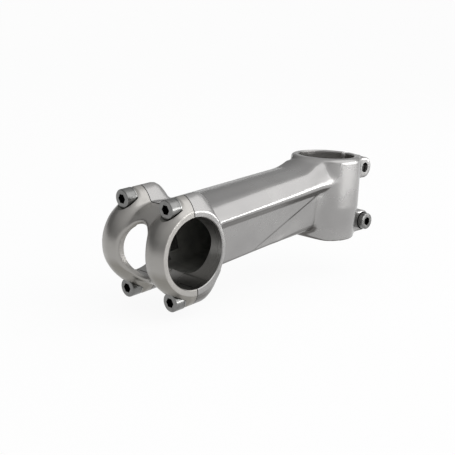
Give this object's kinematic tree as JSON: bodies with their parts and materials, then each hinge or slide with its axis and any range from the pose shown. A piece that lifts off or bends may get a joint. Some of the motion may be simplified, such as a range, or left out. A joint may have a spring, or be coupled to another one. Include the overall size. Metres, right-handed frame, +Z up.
{
  "type": "bicycle handlebar stem",
  "caption": "Threadless bicycle handlebar stem: a hollow faceted extension joins a split steerer clamp to a handlebar clamp with a removable windowed faceplate.",
  "frame": {"origin": "on the axis of the steerer bore, at half the height of the steerer clamp", "axes": "+Z up along the steerer bore, +X forward to the handlebar clamp, +Y to the rider's left, along the handlebar bore"},
  "size_m": [0.1557, 0.041, 0.0584],
  "materials": {
    "forged_body": "polished and satin",
    "faceplate": "bead-blasted satin",
    "screw_steel": "bright zinc, dark in the socket",
    "washer_steel": "plated"
  },
  "bodies": {
    "body": {"stem_body": "forged_body"},
    "faceplate": {"faceplate": "faceplate"},
    "washer_face_upper_left": {"faceplate_washer_upper_left": "washer_steel"},
    "bolt_face_upper_left": {"faceplate_bolt_upper_left": "screw_steel"},
    "washer_face_upper_right": {"faceplate_washer_upper_right": "washer_steel"},
    "bolt_face_upper_right": {"faceplate_bolt_upper_right": "screw_steel"},
    "washer_face_lower_left": {"faceplate_washer_lower_left": "washer_steel"},
    "bolt_face_lower_left": {"faceplate_bolt_lower_left": "screw_steel"},
    "washer_face_lower_right": {"faceplate_washer_lower_right": "washer_steel"},
    "bolt_face_lower_right": {"faceplate_bolt_lower_right": "screw_steel"},
    "washer_pinch_upper": {"steerer_washer_upper": "washer_steel"},
    "bolt_pinch_upper": {"steerer_bolt_upper": "screw_steel"},
    "washer_pinch_lower": {"steerer_washer_lower": "washer_steel"},
    "bolt_pinch_lower": {"steerer_bolt_lower": "screw_steel"}
  },
  "joints": [
    {"name": "faceplate_lift_off", "type": "slide", "parent": "body", "child": "faceplate", "axis": [0.9945, 0, -0.1045], "range_m": [0, 0.03]},
    {"name": "face_upper_left_screw_back_out", "type": "slide", "parent": "faceplate", "child": "washer_face_upper_left", "axis": [0.9945, 0, -0.1045], "range_m": [0, 0.0092]},
    {"name": "face_upper_left_screw_turn", "type": "hinge", "parent": "washer_face_upper_left", "child": "bolt_face_upper_left", "pos_m": [0.11733, 0.0143, 0.00848], "axis": [0.9945, 0, -0.1045], "range_deg": [0, 4230]},
    {"name": "face_upper_right_screw_back_out", "type": "slide", "parent": "faceplate", "child": "washer_face_upper_right", "axis": [0.9945, 0, -0.1045], "range_m": [0, 0.0092]},
    {"name": "face_upper_right_screw_turn", "type": "hinge", "parent": "washer_face_upper_right", "child": "bolt_face_upper_right", "pos_m": [0.11733, -0.0143, 0.00848], "axis": [0.9945, 0, -0.1045], "range_deg": [0, 4230]},
    {"name": "face_lower_left_screw_back_out", "type": "slide", "parent": "faceplate", "child": "washer_face_lower_left", "axis": [0.9945, 0, -0.1045], "range_m": [0, 0.0092]},
    {"name": "face_lower_left_screw_turn", "type": "hinge", "parent": "washer_face_lower_left", "child": "bolt_face_lower_left", "pos_m": [0.113, 0.0143, -0.03269], "axis": [0.9945, 0, -0.1045], "range_deg": [0, 4230]},
    {"name": "face_lower_right_screw_back_out", "type": "slide", "parent": "faceplate", "child": "washer_face_lower_right", "axis": [0.9945, 0, -0.1045], "range_m": [0, 0.0092]},
    {"name": "face_lower_right_screw_turn", "type": "hinge", "parent": "washer_face_lower_right", "child": "bolt_face_lower_right", "pos_m": [0.113, -0.0143, -0.03269], "axis": [0.9945, 0, -0.1045], "range_deg": [0, 4230]},
    {"name": "pinch_upper_screw_back_out", "type": "slide", "parent": "body", "child": "washer_pinch_upper", "axis": [0, -1, 0], "range_m": [0, 0.0068]},
    {"name": "pinch_upper_screw_turn", "type": "hinge", "parent": "washer_pinch_upper", "child": "bolt_pinch_upper", "pos_m": [-0.0205, -0.009, 0.014], "axis": [0, -1, 0], "range_deg": [0, 3150]},
    {"name": "pinch_lower_screw_back_out", "type": "slide", "parent": "body", "child": "washer_pinch_lower", "axis": [0, 1, 0], "range_m": [0, 0.0068]},
    {"name": "pinch_lower_screw_turn", "type": "hinge", "parent": "washer_pinch_lower", "child": "bolt_pinch_lower", "pos_m": [-0.0205, 0.009, -0.014], "axis": [0, 1, 0], "range_deg": [0, 3150]}
  ],
  "couplings": [
    {"joint": "face_upper_left_screw_turn", "follows": "face_upper_left_screw_back_out", "rad_per_m": 7854},
    {"joint": "face_upper_right_screw_turn", "follows": "face_upper_right_screw_back_out", "rad_per_m": 7854},
    {"joint": "face_lower_left_screw_turn", "follows": "face_lower_left_screw_back_out", "rad_per_m": 7854},
    {"joint": "face_lower_right_screw_turn", "follows": "face_lower_right_screw_back_out", "rad_per_m": 7854},
    {"joint": "pinch_upper_screw_turn", "follows": "pinch_upper_screw_back_out", "rad_per_m": 7854},
    {"joint": "pinch_lower_screw_turn", "follows": "pinch_lower_screw_back_out", "rad_per_m": 7854}
  ]
}
